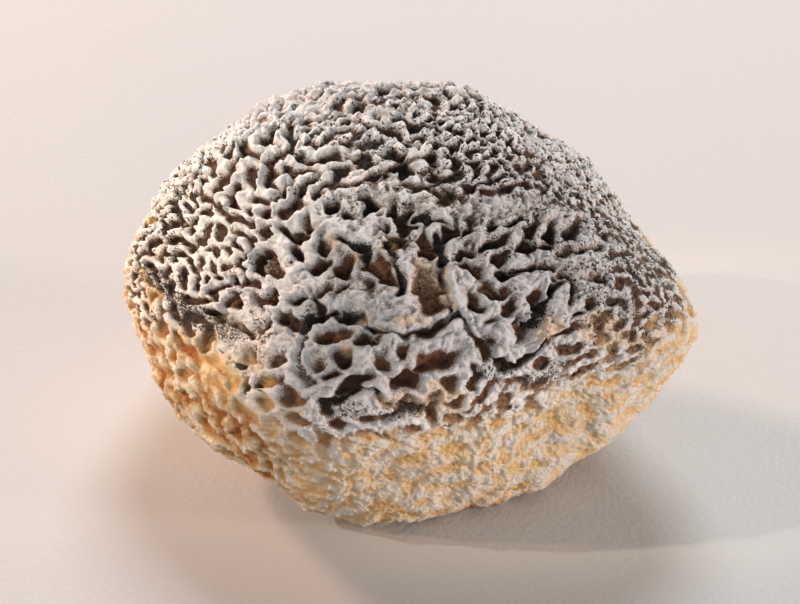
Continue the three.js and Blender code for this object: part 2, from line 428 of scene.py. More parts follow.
def distance_to_route(route):
    """How far every point is from a route, in mm, above 0 on its right-hand side and below 0 on its left."""
    corners = np.array([on_lump(*place) for place in route])
    nearest = np.full(count, np.inf)
    side = np.ones(count)
    for start, end in zip(corners[:-1], corners[1:]):
        along = end - start
        share = np.clip((lump - start) @ along / (along @ along), 0, 1)
        offset = lump - start - share[:, None] * along
        gap = np.linalg.norm(offset, axis=1)
        turn = (np.cross(along, outward) * offset).sum(axis=1)
        closer = gap < nearest
        side = np.where(closer, np.sign(turn), side)
        nearest = np.where(closer, gap, nearest)
    return nearest * side


CREASES = {
    # name: route, half width, depth, lip height and its side, ash
    "down from the brow": ([(437, 236), (438, 248), (440, 262)], 0.42, 1.8, 0.5, 1, 1.0),
    "down the front right face": (
        [(440, 262), (444, 277), (448, 290), (449, 302), (447, 313)],
        0.45, 1.0, 0.6, -1, 0.55,
    ),
    "round to the right": (
        [
            (455, 312), (462, 323), (471, 334), (480, 346), (490, 357),
            (503, 365), (518, 365), (533, 356), (545, 343),
        ],
        0.40, 1.2, 0.5, -1, 0.5,
    ),
    "up the far side": ([(553, 291), (546, 304), (539, 317), (531, 331)], 0.50, 1.6, 0.4, 1, 1.0),
    "across the front face": (
        [(303, 330), (315, 322), (333, 314), (349, 318), (364, 323), (376, 330)],
        0.42, 1.5, 0.5, 1, 1.0,
    ),
    "across, its right half": (
        [(376, 330), (390, 334), (410, 334), (430, 330), (446, 321), (455, 315)],
        0.55, 0.7, 0.5, 1, 0.55,
    ),
    "down the left of the front": (
        [(308, 328), (302, 343), (299, 360), (303, 376), (313, 385)],
        0.40, 1.0, 0.5, -1, 0.3,
    ),
    "over the front face": ([(338, 240), (350, 243), (361, 249), (369, 257)], 0.50, 1.4, 0.5, -1, 0.9),
    "beside the long pit": ([(385, 247), (393, 260), (400, 275), (404, 291)], 0.45, 1.2, 0.5, -1, 0.8),
    "on the brow": ([(415, 219), (430, 219), (445, 221)], 0.35, 0.9, 0.4, 1, 0.8),
    "along the edge of the ash": (
        [(322, 404), (340, 404), (357, 397), (372, 393), (384, 399)],
        0.40, 0.9, 0.5, -1, 0.7,
    ),
    "below it": ([(360, 420), (380, 418), (398, 412), (420, 411)], 0.35, 0.8, 0.5, 1, 0.4),
}
CREASE_FLANK = 1.3  # half widths from the middle of a crease to its flank
LIP_AT = 2.2  # half widths from the middle to the lip
LIP_WIDTH = 0.9
FAR_LIP = 0.3  # the height of the far lip, as a share of the near one's
ASH_REACH = 1.35  # half widths
ASH_GAIN = 1.25
RAGGED = 0.35  # how much the width of a crease varies along it

crease_depth = np.zeros(count)
crease_lip = np.zeros(count)
crease_ash = np.zeros(count)
ragged = 1 + RAGGED * smooth_noise(1.5) + RAGGED * broad_noise(4)
broken = np.clip(0.95 + 0.35 * smooth_noise(1.2) + 0.3 * broad_noise(3), 0, 1.2)
for route, half_width, depth, lip, side, ash in CREASES.values():
    aside = distance_to_route(route)
    across = np.abs(aside) / half_width / np.clip(ragged, 0.4, 2.0)
    crease_depth = np.maximum(crease_depth, bell(across / CREASE_FLANK) * depth)
    towards_lip = aside * side / half_width
    crease_lip = np.maximum(crease_lip, bell((towards_lip - LIP_AT) / LIP_WIDTH) * lip)
    crease_lip = np.maximum(crease_lip, bell((-towards_lip - LIP_AT) / LIP_WIDTH) * lip * FAR_LIP)
    crease_ash = np.maximum(crease_ash, bell(across / ASH_REACH) * ASH_GAIN * ash * broken)
print("creases:", len(CREASES), "points with ash:", int((crease_ash > 0.4).sum()))

# %% [markdown]
# ## Growing the wrinkles
#
# Wrinkles, coral and leopard spots share one recipe: each point is helped by its near neighbours and held
# back by those further off. Starting from noise, the difference of a narrow and a wide average is taken and
# sharpened, over and over, until ridges of an even width wind over the surface. The pitch is set by how fast
# values spread, so a slow zone gets fine wrinkles. Spreading faster along one direction makes the ridges
# follow it. The pits and creases take part as ready-made valleys, so the wrinkles run around them.

# %% Grow the wrinkles
ROUNDS = 5
GAIN = 4.0  # how hard the difference of the averages is pushed to ridge or valley
TOP_RATE = 0.75  # the fastest spread, where the pitch is wide and the points are close together
PITCH_TO_SPREAD = 0.19  # how wide the narrow average is for a pitch of 1
MIDDLING_PITCH = 1.7  # mm, of the wrinkles that lie on the ridges
FINE_PITCH = 0.95
TINY = 1e-9  # against dividing by 0


def grain_shares(tilt, stretch):
    """Shares for the neighbours of each point, larger towards the way that its ridges run."""
    level = np.cross([0.0, 0.0, 1.0], outward)
    level /= np.linalg.norm(level, axis=1)[:, None] + TINY
    rise = np.cross(outward, level)
    angle = np.radians(tilt)[:, None]
    grain = np.cos(angle) * level + np.sin(angle) * rise
    steps = lump[near] - lump[:, None]
    lengths = np.linalg.norm(steps, axis=2) + TINY
    along = np.abs(np.einsum("ijk,ik->ij", steps, grain)) / lengths
    shares = 1 + (stretch[:, None] ** 2 - 1) * along**2
    return (shares / shares.sum(axis=1)[:, None]).astype(np.float32)


def spread_along(values, passes, rate, shares):
    """Like spread, but faster towards the neighbours with the larger shares."""
    values = values.copy()
    for _ in range(passes):
        values += rate * (np.einsum("ij,ij->i", values[near], shares) - values)
    return values


def grow(pitch, bias, shares, anchor, anchor_share):
    """Ridges above 0 and valleys below, wound over the surface with the given pitch."""
    needed = 2 * (pitch * PITCH_TO_SPREAD / spacing) ** 2
    passes = int(np.ceil(np.quantile(needed, 0.98) / TOP_RATE))
    rate = np.minimum(needed / passes, 0.9).astype(np.float32)
    ridge = random.standard_normal(count, dtype=np.float32)
    anchor = anchor.astype(np.float32)
    anchor_share = anchor_share.astype(np.float32)
    for _ in range(ROUNDS):
        ridge = ridge * (1 - anchor_share) + anchor * anchor_share
        narrow = spread_along(ridge, passes, rate, shares)
        wide = spread_along(narrow, 3 * passes, rate, shares)
        wave = (GAIN * (narrow - wide) + bias).astype(np.float32)
        ridge = np.tanh(wave)
    return wave


def measured_pitch(wave, where):
    """The pitch that came out, from how often an edge of the mesh steps over a flank."""
    crossed = (wave[near] > 0) != (wave[:, None] > 0)
    share = crossed[where].sum() / valence[where].sum()
    return 4 / math.pi * spacing[where].mean() / share


# %% [markdown]
# ## Three sizes of wrinkles
#
# The large ridges take the pitch of their zone. Placed pits and creases are pulled towards a valley and the
# rims round them towards a ridge, so the grown net joins the placed one. Two finer sets of wrinkles run over
# everything.

# %% Three sizes of wrinkles
RIM = 0.8  # mm round a pit that is held up as its rim
HOLD = 0.8  # how firmly pits, creases and rims are held
DRAWN_HOLD = 0.45  # how firmly the rest of the part with listed pits is held up as ridge
PITCH_VARIES = 0.15

shares = grain_shares(form["tilt"], form["stretch"])
anchor = np.where((crease_depth > 0.5) | (pit_nearest < 0), -1.0, 1.0)
in_rim = (pit_nearest < RIM) | (crease_lip > 0.2)
anchor_share = np.where((anchor < 0) | in_rim, HOLD, DRAWN_HOLD * drawn)
varied_pitch = form["pitch"] * np.clip(1 + PITCH_VARIES * broad_noise(7), 0.7, 1.4)
wave = grow(varied_pitch, form["bias"], shares, anchor, anchor_share)
for name, (place, reach, *_) in ZONES.items():
    inside = way @ facing(*place) > math.cos(math.radians(reach * 0.7))
    wanted = form["pitch"][inside].mean()
    print("pitch at the %s: %.1f mm, wanted %.1f" % (name, measured_pitch(wave, inside), wanted))
nothing = np.zeros(count)
middling = grow(np.full(count, MIDDLING_PITCH), nothing, shares, nothing, nothing)
fine = grow(np.full(count, FINE_PITCH), nothing, shares, nothing, nothing)
print("pitch of the fine wrinkles: %.1f mm" % measured_pitch(fine, nothing == 0))
print("waves: %.2f to %.2f" % tuple(np.quantile(wave, [0.02, 0.98])))

# %% [markdown]
# ## Raising the relief
#
# The grown pattern is a flat map of ridges. It becomes height along the surface's own outward direction.
# A power of it shapes the cross-section: at 1 the ridges are broad with narrow valleys between them, as on
# the front, and above 1 thin crests are left between wide hollows, as on the left and on the bare wall. The
# listed pits are cut into this, and the ground between them is held up as their rims.

# %% Cross-section of the ridges
SHARPNESS = 0.8  # how steep the flanks are
DEPTH_VARIES = 0.28
ROUGH_CRESTS = 0.25  # how much the middling wrinkles ruffle the ridges
FULL_HEIGHT = math.tanh(1.5)
BASE = 0.65  # the height, from 0 to 1, that stays on the smooth lump
PIT_IN_RIDGES = 0.6  # how deep a placed pit still is outside the part with listed pits
RIDGE_BETWEEN_PITS = 0.45  # mm, how much the grown ridges count in the part with listed pits
RIM_HEIGHT = 0.9  # mm, of the ground between the pits above their edges
DRAWN_SINK = 0.1  # mm

varied = np.clip(1 + DEPTH_VARIES * broad_noise(4), 0.3, 1.7)
crested = 0.5 + 0.5 * np.tanh(SHARPNESS * wave + ROUGH_CRESTS * np.tanh(middling)) / FULL_HEIGHT
crested = np.clip(crested, 0, 1)
height = crested ** form["crisp"]
free_relief = form["depth"] * (height - BASE) * varied
crest = smoothstep(0, 1.8, pit_nearest)
drawn_relief = RIDGE_BETWEEN_PITS * (height - 0.5) - DRAWN_SINK + RIM_HEIGHT * crest - pit_depth
relief = (free_relief - PIT_IN_RIDGES * pit_depth) * (1 - drawn) + drawn_relief * drawn

# %% [markdown]
# ## Undulations and crumples
#
# Under and over the ridges come larger and smaller bumps, which keep a dried skin from looking cast: a slow
# roll of the whole lump, lumps on the bare wall, and crumples on the ridges themselves.

# %% Undulations and crumples
UNDULATION = 0.35  # mm, of the whole skin
WALL_LUMPS = 0.4
MIDDLING_DEPTH = 0.22
FINE_DEPTH = 0.17
LUMPS = 0.10
CRUMPLE = 0.08

relief += UNDULATION * broad_noise(9)
relief += WALL_LUMPS * broad_noise(4) * smoothstep(-4, -12, elevation)
relief += MIDDLING_DEPTH * np.tanh(middling) * (0.35 + 0.65 * height) * form["depth"] / 2
relief += FINE_DEPTH * np.tanh(fine)
relief += LUMPS * smooth_noise(1.5) + CRUMPLE * smooth_noise(0.7)
relief += crease_lip - crease_depth

# %% [markdown]
# ## Raising it, and what the colours need to know
#
# The points now move: outward by the relief, uphill by the lean, and a little sideways, so that no flank is
# even. The foot stays flat on the floor. Two maps are kept for the colours: how high each point is on its
# ridge, and whether it stands above or below its surroundings, which the colours use as painted light on
# humps and painted shade in hollows.

# %% Raise the relief
TONE_CRISP = 1.5  # the mould reaches further down the flanks than the crests do
FULL_PIT = 1.3  # mm, from which a pit counts as a full one
PIT_TONE = 0.85  # how far the tone drops in the middle of a full pit
PIT_TONE_SLANT = 0.35  # how much further at its lower end
EDGE_TONE = 0.85  # the tone at the edge of a pit, and 1 on the crest between two
HUMP_PASSES = 46
HUMP_HEIGHT = 0.35  # mm above the surroundings that counts as a full hump
LEAN = 0.35  # how far the ridges roll over uphill, as a share of their height
WOBBLE = 0.25  # mm, sideways
STILL_FOOT = (0.2, 3)  # mm above the floor, where the wobble starts and where it is full

pit_share = np.clip(pit_depth / FULL_PIT, 0, 1)
drawn_height = 1 - pit_share * (PIT_TONE + PIT_TONE_SLANT * pit_low)
drawn_height *= EDGE_TONE + (1 - EDGE_TONE) * crest
ridge_tone = crested**TONE_CRISP * (1 - drawn) + drawn_height * drawn
# hump: above 0 where a point stands above its surroundings; the colours paint light on humps and shade in
# hollows with it
hump = relief - spread(relief, HUMP_PASSES, near)
hump = np.clip(hump / HUMP_HEIGHT, -1, 1)
uphill = np.array([0, 0, 1.0]) - outward * outward[:, 2:3]
raised = lump + outward * relief[:, None] + uphill * (LEAN * form["depth"] * height)[:, None]
wobble = np.stack([smooth_noise(2.2) for _ in range(3)], axis=-1) * WOBBLE
wobble -= outward * (wobble * outward).sum(axis=1)[:, None]
raised += wobble * smoothstep(*STILL_FOOT, lump[:, 2])[:, None]
raised[:, 2] = np.maximum(raised[:, 2], 0)
store_points(skin, raised)
print("relief in mm: %.2f to %.2f" % (relief.min(), relief.max()))

# %% [markdown]
# ## Zones of colour
#
# The same zones give the colours. "black" is how much ash fills the valleys, "grey" how much of it
# still shows through the mould on the ridges, "fleck" how many black crumbs lie about, "bloom" how white the
# mould is, and "warm" how yellow the skin under it, together with painted warm light on the lit left of the
# dome.

# %% Colour zones
TONE_KEYS = ("black", "grey", "fleck", "bloom", "warm")
TONES = {
    "upper left": (0.50, 0.00, 0.60, 0.96, 0.30),
    "left end": (0.80, 0.10, 1.00, 0.42, 0.45),
    "crown": (0.90, 0.00, 1.05, 0.86, 0.15),
    "top of the front": (1.00, 0.10, 0.65, 0.48, 0.15),
    "front face": (0.15, 0.60, 0.30, 0.20, 0.00),
    "front band": (0.15, 0.75, 0.25, 0.66, 0.10),
    "front left edge": (0.60, 0.20, 0.80, 0.58, 0.25),
    "right of the crease": (0.25, 0.70, 0.45, 0.78, 0.00),
    "upper right": (0.65, 0.70, 1.00, 0.24, 0.00),
    "right end": (0.45, 0.65, 1.00, 0.68, 0.20),
    "back right": (0.60, 0.25, 0.85, 0.74, 0.20),
    "back": (0.60, 0.25, 0.75, 0.72, 0.15),
    "back left": (0.50, 0.15, 0.65, 0.84, 0.25),
    "left wall": (0.00, 0.00, 0.10, 0.60, 0.90),
    "front wall": (0.00, 0.00, 0.05, 0.75, 0.35),
    "right wall": (0.00, 0.00, 0.10, 0.90, 0.25),
    "right end wall": (0.00, 0.00, 0.15, 0.80, 0.45),
    "back wall": (0.00, 0.00, 0.10, 0.75, 0.50),
    "back left wall": (0.00, 0.00, 0.10, 0.65, 0.80),
    "underside": (0.00, 0.00, 0.05, 0.60, 0.60),
}
tones = blend(TONE_KEYS, [TONES[name] for name in ZONES])
tones["black"] = tones["black"] * (1 - drawn) + pit_black * drawn

# %% [markdown]
# ## Places that stand out
#
# Some places differ from their zone and are given as ovals in the picture: tan skin where the mould is
# thin, clumps of ash crumbs, the broad band of them on the left, and smooth yellow patches of bare paste.

# %% Places that stand out
SPOTS = {
    # middle x and y, half width, half height, turn
    "tan": [
        (430, 288, 19, 27), (436, 250, 9, 14), (398, 283, 6, 10), (449, 312, 5, 20), (332, 246, 9, 6),
        (358, 262, 5, 10), (392, 262, 4, 9), (440, 400, 24, 16), (400, 402, 28, 8), (415, 325, 20, 4),
        (365, 322, 10, 3), (548, 332, 16, 16), (600, 332, 20, 18), (645, 345, 24, 14), (346, 352, 5, 7),
    ],
    "crumbs": [
        (200, 324, 42, 13, -33), (345, 410, 26, 8, -10), (398, 411, 24, 6, 8), (310, 323, 7, 6),
        (262, 342, 5, 4), (262, 315, 4, 4), (640, 262, 48, 20, -38), (560, 245, 50, 10, -10),
        (600, 290, 40, 8, -30), (500, 366, 26, 7, 10), (165, 290, 26, 14, -40), (545, 375, 30, 8, 15),
    ],
    "ash band": [(205, 322, 44, 15, -33), (165, 288, 28, 15, -40)],
    "yellow": [
        (563, 422, 11, 14), (509, 461, 8, 13, 15), (454, 447, 19, 8, -15), (586, 454, 14, 8, 20),
        (413, 458, 4, 9), (464, 483, 8, 9), (380, 520, 12, 8), (315, 489, 9, 14, 70), (201, 352, 6, 5),
        (220, 375, 26, 18, -45), (143, 214, 7, 14, 30), (150, 300, 6, 10), (386, 250, 4, 10, -60),
    ],
}
CRUMB_FLECKS = 1.5
CRUMB_BLACK = 0.8
CRUMB_ASH = 0.27  # loose crumbs, which only the coarsest grain turns black
BAND_ASH = 0.42

spots = {name: np.max([oval(*place) for place in places], axis=0) for name, places in SPOTS.items()}
tones["fleck"] = np.maximum(tones["fleck"], CRUMB_FLECKS * spots["crumbs"])
tones["black"] = np.maximum(tones["black"], CRUMB_BLACK * spots["crumbs"])
packed_ash = np.max([crease_ash, CRUMB_ASH * spots["crumbs"], BAND_ASH * spots["ash band"]], axis=0)
print("points in each kind of spot:", {name: int((spot > 0.5).sum()) for name, spot in spots.items()})

# %% [markdown]
# ## The edge of the ash
#
# The ash was dusted from above, so it ends in a ragged line round the belly, which the table gives as an
# elevation for each azimuth. Noise frays it, and on the right the ash thins out before it ends. All that the
# colours need is then stored on the points.

# %% Edge of the ash
ASH_EDGE = [
    (-180, -2), (-130, -2), (-90, 0), (-56, 6), (-35, 4), (-22, 1), (-15, -3), (6, -5), (30, -5), (40, -1),
    (50, 4), (63, 6), (75, 8), (95, 7), (120, 2), (180, -2),
]
BAYS = 3.2  # degrees that the edge sways up and down in bays 4 mm wide
TEETH = 1.8  # the same for its teeth, which are 1.2 mm wide
EDGE_SOFTNESS = 1.8
THIN_FROM = 11  # degrees above the edge, on the right
THIN_MIDDLE = 62  # azimuth
THIN_REACH = 30

edge_height = np.interp(azimuth, *zip(*ASH_EDGE))
above_edge = elevation - edge_height + BAYS * broad_noise(4) + TEETH * smooth_noise(1.2)
ash_cover = 1 / (1 + np.exp(-above_edge / EDGE_SOFTNESS))
thin_ash = smoothstep(THIN_FROM, 1, above_edge) * bell((azimuth - THIN_MIDDLE) / THIN_REACH)

maps = {"ridge": np.clip(ridge_tone, 0, 1), "hump": hump, "crease": packed_ash, "lip": crease_lip}
maps |= {"tan": spots["tan"], "yellow": spots["yellow"], "cover": ash_cover, "thin": thin_ash}
for name, values in (maps | tones).items():
    layer = skin.attributes.new(name, "FLOAT", "POINT")
    layer.data.foreach_set("value", values.astype(np.float32))
print("share of the skin under ash: %.2f" % ash_cover.mean())

# %% [markdown]
# ## Four pieces
#
# The ash rind on the dome and the bare wall below it are parted along the edge of the ash, and each of them
# again into a front and a back, so that all can be finely cut. Each piece is closed on the inside, and all
# keep the shading directions of the whole skin, so no seam shows.

# %% Part the skin
FRONT_ENDS_AT = 1.5  # mm, where the front pieces meet the back ones

skin.shade_smooth()
skin_normals = read_normals(skin)
original = skin.attributes.new("original", "INT", "POINT")
original.data.foreach_set("value", np.arange(count, dtype=np.int32))
corners = read(skin.polygons, "vertices", 3, np.int32)
on_dome = (elevation - edge_height)[corners].mean(axis=1) > 0
in_front = lump[corners, 1].mean(axis=1) < FRONT_ENDS_AT


def take_part(name, chosen):
    """One part of the skin, closed on the inside, as a mesh object."""
    part = bmesh.new()
    part.from_mesh(skin)
    part.faces.ensure_lookup_table()
    bmesh.ops.delete(part, geom=[part.faces[i] for i in np.flatnonzero(~chosen)], context="FACES")
    rim = [edge for edge in part.edges if edge.is_boundary]
    cap = bmesh.ops.holes_fill(part, edges=rim)["faces"]
    bmesh.ops.recalc_face_normals(part, faces=part.faces)
    if part.calc_volume(signed=True) < 0:
        bmesh.ops.reverse_faces(part, faces=part.faces)
    bmesh.ops.triangulate(part, faces=cap)
    mesh = bpy.data.meshes.new(name)
    part.to_mesh(mesh)
    part.free()
    mesh.shade_smooth()
    indices = read(mesh.attributes["original"].data, "value", 1, np.int32)[:, 0]
    mesh.normals_split_custom_set_from_vertices(skin_normals[indices])
    mesh.attributes.remove(mesh.attributes["original"])
    piece = bpy.data.objects.new(name, mesh)
    bpy.context.collection.objects.link(piece)
    print(name, "triangles:", len(mesh.polygons))
    return piece


pieces = [
    take_part("ash_rind_front", on_dome & in_front),
    take_part("ash_rind_back", on_dome & ~in_front),
    take_part("bare_wall_front", ~on_dome & in_front),
    take_part("bare_wall_back", ~on_dome & ~in_front),
]

# %% [markdown]
# ## Short names for nodes
#
# A material in code is a long list of nodes and links. This class gives each kind of node a short method,
# so the recipes below read like sums. Patterns take their place from the piece itself, in mm, so they stick
# to it in their true size.

# %% Material helpers
class Tree:
    """The nodes of one material, by short names."""

    def __init__(self, name):
        self.material = bpy.data.materials.new(name)
        self.material.use_nodes = True
        self.nodes = self.material.node_tree.nodes
        self.links = self.material.node_tree.links
        self.shader = self.nodes["Principled BSDF"]

    def put(self, socket, value):
        if isinstance(value, bpy.types.NodeSocket):
            self.links.new(value, socket)
        elif isinstance(value, tuple):
            socket.default_value = (*value, 1)
        else:
            socket.default_value = value

    def node(self, kind, **values):
        """A new node, with numbers, colours or the outputs of other nodes for its inputs."""
        node = self.nodes.new("ShaderNode" + kind)
        for name, value in values.items():
            self.put(node.inputs[name.replace("_", " ")], value)
        return node

    def attribute(self, name):
        node = self.node("Attribute")
        node.attribute_name = name
        return node.outputs["Fac"]

    def math(self, operation, a, b):
        node = self.node("Math")
        node.operation = operation
        self.put(node.inputs[0], a)
        self.put(node.inputs[1], b)
        return node.outputs[0]

    def add(self, a, b):
        return self.math("ADD", a, b)

    def less(self, a, b):
        return self.math("SUBTRACT", a, b)

    def times(self, a, b):
        return self.math("MULTIPLY", a, b)

    def vary(self, value, pattern, amount):
        """A value pushed up and down by a pattern from 0 to 1."""
        return self.add(value, self.times(self.less(pattern, 0.5), amount))

    def mix(self, share, a, b, blend="MIX"):
        node = self.node("Mix")
        node.data_type = "RGBA"
        node.blend_type = blend
        sockets = {socket.name: socket for socket in node.inputs if socket.enabled}
        self.put(sockets["Factor"], share)
        self.put(sockets["A"], a)
        self.put(sockets["B"], b)
        return next(socket for socket in node.outputs if socket.enabled)

    def place(self):
        """Where a point is on the piece, in mm."""
        scaled = self.node("VectorMath")
        scaled.operation = "SCALE"
        self.put(scaled.inputs[0], self.node("TexCoord").outputs["Object"])
        self.put(scaled.inputs["Scale"], 1 / MM)
        return scaled.outputs[0]

    def noise(self, place, size, detail=2.0, rough=0.5):
        """Cloudy noise from 0 to 1 with spots of the given size in mm."""
        node = self.node("TexNoise", Vector=place, Scale=1 / size, Detail=detail, Roughness=rough)
        return node.outputs["Fac"]

    def step(self, value, low, high):
        """0 up to low, 1 from high on, and a soft slope between them."""
        node = self.node("MapRange", Value=value, From_Min=low, From_Max=high)
        node.interpolation_type = "SMOOTHSTEP"
        return node.outputs["Result"]

    def ramp(self, value, stops):
        node = self.node("ValToRGB", Fac=value)
        elements = node.color_ramp.elements
        while len(elements) < len(stops):
            elements.new(1.0)
        for element, (place, colour) in zip(elements, stops):
            element.position = place
            element.color = (*colour, 1)
        return node.outputs["Color"]

    def bump(self, height, distance, strength):
        node = self.node("Bump", Strength=strength, Distance=distance * MM, Height=height)
        self.put(self.shader.inputs["Normal"], node.outputs["Normal"])


# %% [markdown]
# ## How high the mould stands
#
# The mould is thickest on the crests, and the gaps between them keep the ash or the brown skin. So one number
# runs the dome, the level: how high a point is on its ridge, raised on humps and lowered in hollows as
# painted light and shade, raised on the lips of the creases and where a zone has much mould, and ruffled by
# noise.

# %% Level of the mould
RIDGE_SHARE = 0.85
# how much humps lighten and hollows darken the mould, as painted light and shade
HUMP_LIGHT_AND_SHADE = 0.15
LIP_LIFT = 0.8
USUAL_BLOOM = 0.7  # the bloom that leaves the level alone
BLOOM_LIFT = 0.45
PATCH_SIZE = 1.8  # mm
PATCHES = 0.48  # how much of the level the patches make, from one extreme to the other
GRAIN_SIZE = 0.32
GRAIN = 0.74

tree = Tree("ash rind")
place = tree.place()
ridge_map = tree.attribute("ridge")
bloom_map = tree.attribute("bloom")
skin_warmth_and_warm_light = tree.attribute("warm")
patches = tree.noise(place, PATCH_SIZE, 3, 0.6)
grain = tree.noise(place, GRAIN_SIZE, 2, 0.6)

# Humps lighten the level a little and hollows darken it: painted light and shade over the mould's own
# pattern.
level = tree.add(tree.times(ridge_map, RIDGE_SHARE), tree.times(tree.attribute("hump"), HUMP_LIGHT_AND_SHADE))
level = tree.add(level, tree.times(tree.attribute("lip"), LIP_LIFT))
level = tree.add(level, tree.times(tree.less(bloom_map, USUAL_BLOOM), BLOOM_LIFT))
level = tree.vary(tree.vary(level, patches, PATCHES), grain, GRAIN)

# %% [markdown]
# ## From brown gaps to white crests
#
# A ramp turns the level into the colour of the mould, from brown skin that shines through to nearly white.
# Below it lie the gaps: brown, black where ash is packed, light where it is thin. The red cast of the brown
# and of the ramp's low end is partly painted glow, light shining through the thin skin and bouncing in the
# gaps.
# In some zones grey ash dulls the crests, and over warm skin the mould looks cream, which on the lit left of
# the dome also paints warm light.

# %% Gaps and crests
# Partly painted glow: its red cast stands for light shining through the thin skin and bouncing in the gaps.
BROWN_SKIN_AND_GLOW = (0.30, 0.125, 0.056)
PACKED_ASH = (0.018, 0.012, 0.009)
THIN_ASH = (0.62, 0.42, 0.24)
# The two lowest stops carry the same painted red glow.
MOULD = [
    (0.18, (0.12, 0.075, 0.048)), (0.36, (0.29, 0.22, 0.17)), (0.52, (0.56, 0.50, 0.455)),
    (0.66, (0.78, 0.765, 0.765)), (0.80, (0.91, 0.935, 0.97)),
]
POWDER = ((0.26, 0.26, 0.275), (0.66, 0.65, 0.68))
# Partly the yellow skin under thin mould, partly painted warm light on the lit left of the dome.
CREAM_AND_WARM_LIGHT = (1.0, 0.88, 0.68)
TAN_SKIN = ((0.30, 0.17, 0.09), (0.86, 0.68, 0.50))
GAP_TO_MOULD = (0.12, 0.36)  # levels
POWDERED = (0.30, 0.62)  # levels from which the grey powder starts to show and shows fully
TAN_LEVELS = (-0.3, 0.9)
MOST_POWDER = 0.7  # how much of the mould the full values of the maps cover
MOST_CREAM_AND_WARM_LIGHT = 0.7
MOST_TAN = 0.8

valley = tree.mix(tree.attribute("black"), BROWN_SKIN_AND_GLOW, PACKED_ASH)
valley = tree.mix(tree.attribute("thin"), valley, THIN_ASH)
dome = tree.mix(tree.step(level, *GAP_TO_MOULD), valley, tree.ramp(level, MOULD))
powdery = tree.times(tree.attribute("grey"), tree.step(level, *POWDERED))
dome = tree.mix(tree.times(powdery, MOST_POWDER), dome, tree.mix(grain, *POWDER))
# Cream over warm skin, which on the lit left of the dome also paints warm light.
dome = tree.mix(tree.times(skin_warmth_and_warm_light, MOST_CREAM_AND_WARM_LIGHT), dome, tree.mix(1.0, dome, CREAM_AND_WARM_LIGHT, "MULTIPLY"))
tan_skin = tree.mix(tree.step(level, *TAN_LEVELS), *TAN_SKIN)
dome = tree.mix(tree.times(tree.attribute("tan"), MOST_TAN), dome, tan_skin)

# %% [markdown]
# ## Specks of ash
#
# Ash shows through the mould twice over: as a fine pepper that fades on the crests, and as larger black
# flecks, which keep off the crests and come in clusters where a broad noise leaves room for them.

# %% Specks
PEPPER = (0.52, 0.49, 0.45)
FLECK = (0.022, 0.02, 0.018)
PEPPER_SIZE = 0.2  # mm
OFF_CRESTS = 0.26  # how strongly the pepper fades on the crests
CLUSTER_SIZE = 3.0
CLUSTERS = 1.8  # how strongly the flecks gather
FLECK_SIZE = 0.55
FLECKS_OFF_CRESTS = 0.62

pepper = tree.less(tree.noise(place, PEPPER_SIZE, 1, 0.5), tree.times(level, OFF_CRESTS))
dome = tree.mix(tree.step(pepper, 0.40, 0.46), dome, tree.mix(1.0, dome, PEPPER, "MULTIPLY"))
clusters = tree.noise(place, CLUSTER_SIZE, 2, 0.5)
fleck_room = tree.vary(tree.times(tree.attribute("fleck"), 0.9), clusters, CLUSTERS)
fleck_room = tree.less(fleck_room, tree.times(ridge_map, FLECKS_OFF_CRESTS))
specks = tree.step(tree.noise(place, FLECK_SIZE, 3, 0.65), 0.53, 0.58)
dome = tree.mix(tree.times(specks, tree.step(fleck_room, 0.05, 0.35)), dome, FLECK)

# %% [markdown]
# ## The bare wall
#
# Below the ash the skin is bare, golden in its folds and white where a little mould has settled. The deep
# orange in the folds is partly painted glow, light shining through the skin. Its own level is ruffled by
# broad fields and fine crinkles. A pale and a deep yellow ramp are mixed by how warm the zone is, and smooth
# buttery patches lie over both.

# %% Bare wall
# The orange of the lowest stops, in the folds, is partly painted glow of light shining through the skin.
PALE = [
    (0.08, (0.86, 0.53, 0.23)), (0.36, (0.84, 0.64, 0.39)), (0.62, (0.82, 0.70, 0.55)),
    (0.92, (0.79, 0.75, 0.71)),
]
DEEP = [
    (0.12, (0.38, 0.115, 0.016)), (0.38, (0.51, 0.28, 0.095)), (0.62, (0.68, 0.50, 0.30)),
    (0.90, (0.90, 0.83, 0.69)),
]
BUTTER = ((0.80, 0.52, 0.22), (0.93, 0.76, 0.48))
WALL_RIDGES = 0.55
WALL_BLOOM = 0.3
FIELD_SIZE = 5.5  # mm
CRINKLE_SIZE = 0.9
PALE_TO_DEEP = (0.25, 0.75)  # warmth
BUTTER_LEVELS = (0.3, 1.0)
MOST_BUTTER = 0.8

fields = tree.noise(place, FIELD_SIZE, 2, 0.5)
crinkles = tree.noise(place, CRINKLE_SIZE, 4, 0.7)
wall_level = tree.add(tree.times(ridge_map, WALL_RIDGES), tree.times(bloom_map, WALL_BLOOM))
for pattern, amount in ((fields, 1.0), (patches, 0.35), (grain, 0.4), (crinkles, 0.55)):
    wall_level = tree.vary(wall_level, pattern, amount)
pale = tree.ramp(wall_level, PALE)
deep = tree.ramp(wall_level, DEEP)
bare = tree.mix(tree.step(skin_warmth_and_warm_light, *PALE_TO_DEEP), pale, deep)
surface = tree.mix(tree.attribute("cover"), bare, dome)
butter = tree.mix(tree.step(wall_level, *BUTTER_LEVELS), *BUTTER)
surface = tree.mix(tree.times(tree.attribute("yellow"), MOST_BUTTER), surface, butter)

# %% [markdown]
# ## Ash in the creases, and the finish
#
# Loose ash lies over everything else, in the creases and in the clumps, and the grain breaks it into black
# and brown crumbs. The skin is dry and rough, and its finest crinkles, too small for the mesh, are a bump.
# The pieces then take the material and are tied to the solid that they stand for.

